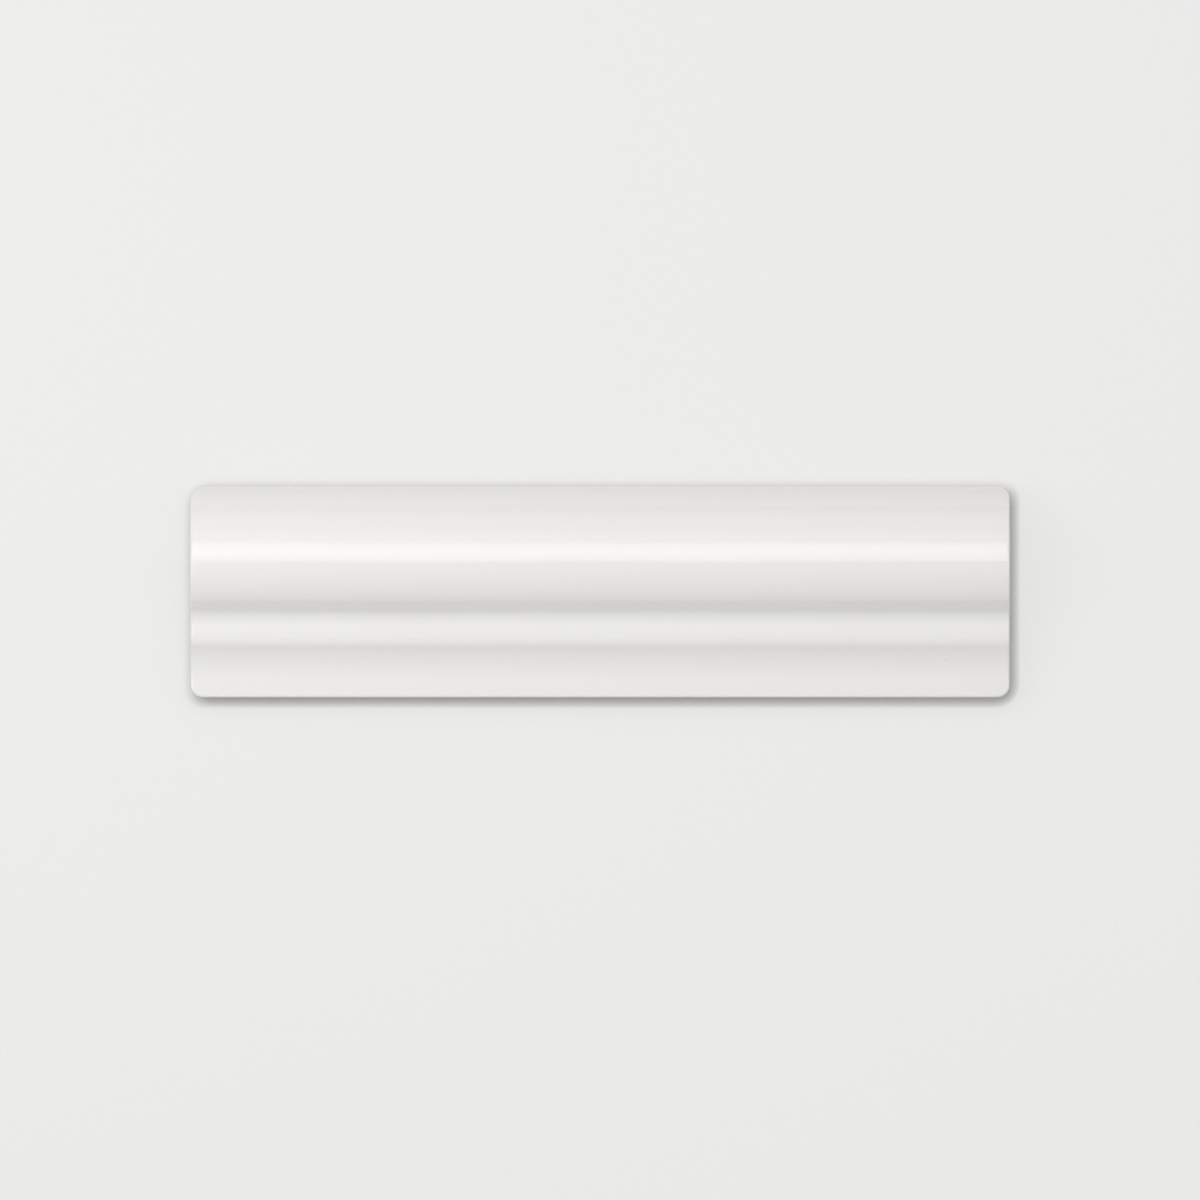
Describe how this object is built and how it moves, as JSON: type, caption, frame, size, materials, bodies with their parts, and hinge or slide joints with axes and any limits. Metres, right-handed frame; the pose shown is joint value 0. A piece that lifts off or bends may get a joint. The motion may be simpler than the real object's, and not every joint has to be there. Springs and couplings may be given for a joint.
{
  "type": "ceramic moulding tile",
  "caption": "Straight dado-rail trim tile of glazed ceramic, with a rounded nose, a throat, an ogee foot and a hollow keyed back, for edging or dividing tiled walls.",
  "frame": {"origin": "middle of the back, in the plane that meets the wall", "axes": "+X along the length, +Y up the wall towards the rounded nose, +Z out of the wall"},
  "size_m": [0.2, 0.0516, 0.02],
  "materials": {
    "glazed_body": "glossy warm-white glaze over the face, edges and ends; bare matt cream biscuit on the back"
  },
  "bodies": {
    "root": {"moulding_tile": "glazed_body"}
  },
  "joints": []
}
